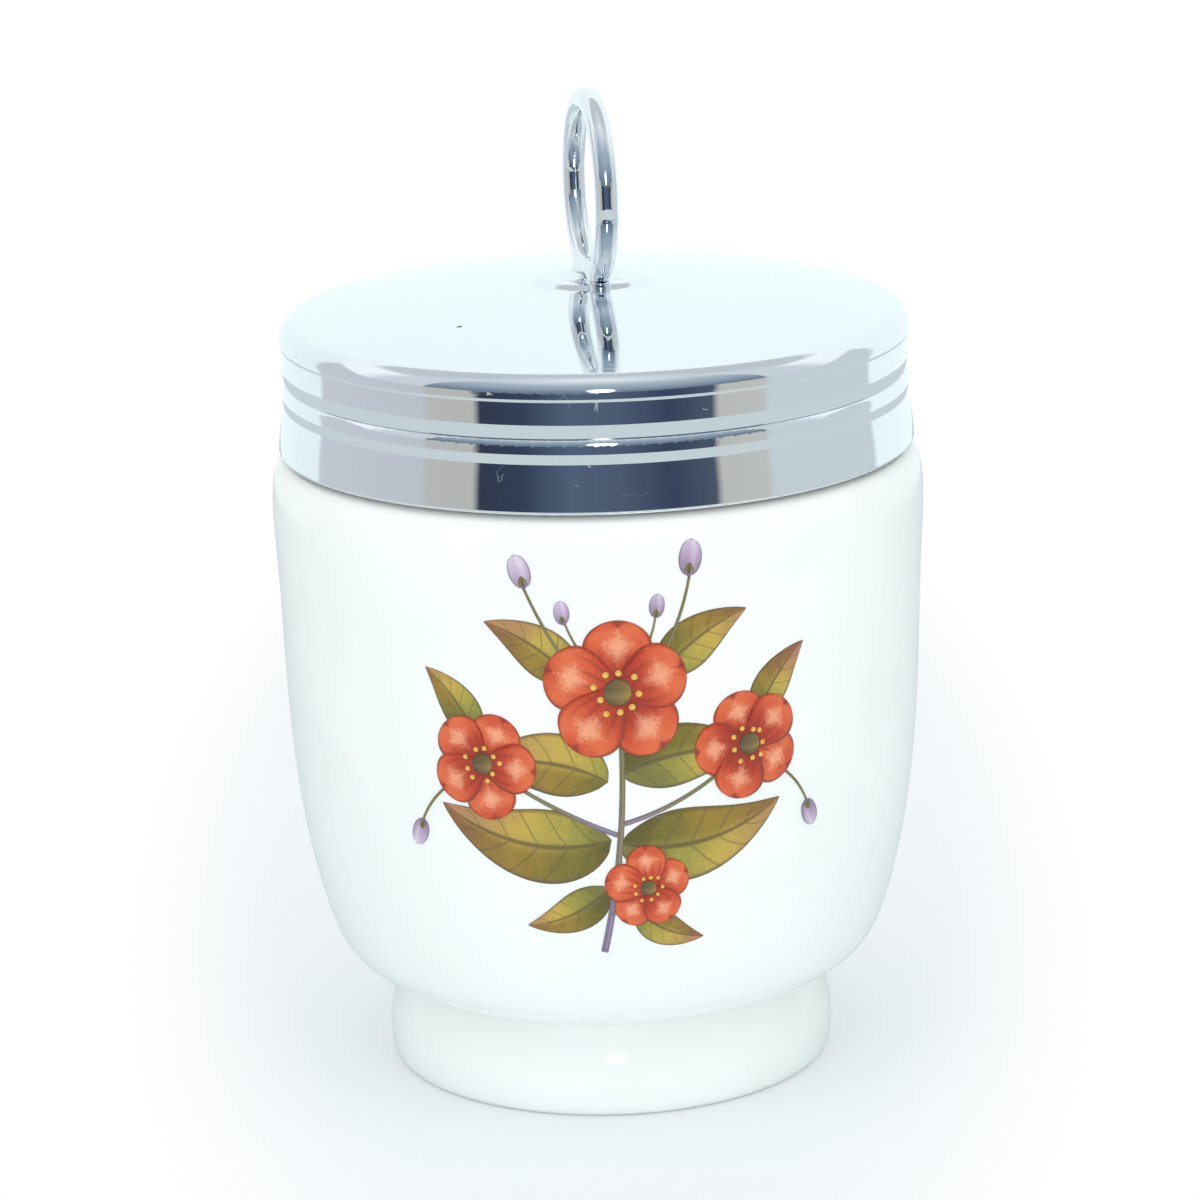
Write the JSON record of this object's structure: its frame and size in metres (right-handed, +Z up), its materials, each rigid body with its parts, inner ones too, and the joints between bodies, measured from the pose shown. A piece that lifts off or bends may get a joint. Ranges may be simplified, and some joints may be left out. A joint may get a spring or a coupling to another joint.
{
  "type": "egg coddler",
  "caption": "Glazed porcelain cup on a raised foot, closed by a plated screw-on lid with a fixed lifting ring; an egg is cooked inside it in hot water.",
  "frame": {"origin": "centre of the foot, on the surface that the cup stands on", "axes": "+Z up along the cup's axis; -Y is the decorated front"},
  "size_m": [0.0656, 0.0656, 0.0998],
  "materials": {
    "porcelain": "glazed, high gloss",
    "plated_metal": "bright chrome plate",
    "plated_inner_metal": "thin bright plate, less polished"
  },
  "bodies": {
    "cup": {"cup": "porcelain"},
    "riser": {"burr_washer": "plated_inner_metal"},
    "lid": {"lid_cap": "plated_metal", "lid_skirt": "plated_metal", "thread_ring": "plated_inner_metal", "lift_ring": "plated_metal"}
  },
  "joints": [
    {"name": "lid_rise", "type": "slide", "parent": "cup", "child": "riser", "axis": [0, 0, 1], "range_m": [0, 0.016]},
    {"name": "lid_unscrew", "type": "hinge", "parent": "riser", "child": "lid", "pos_m": [0, 0, 0.07], "axis": [0, 0, 1], "range_deg": [0, 1440]}
  ],
  "couplings": [
    {"joint": "lid_rise", "follows": "lid_unscrew", "m_per_rad": 0.00063662}
  ]
}
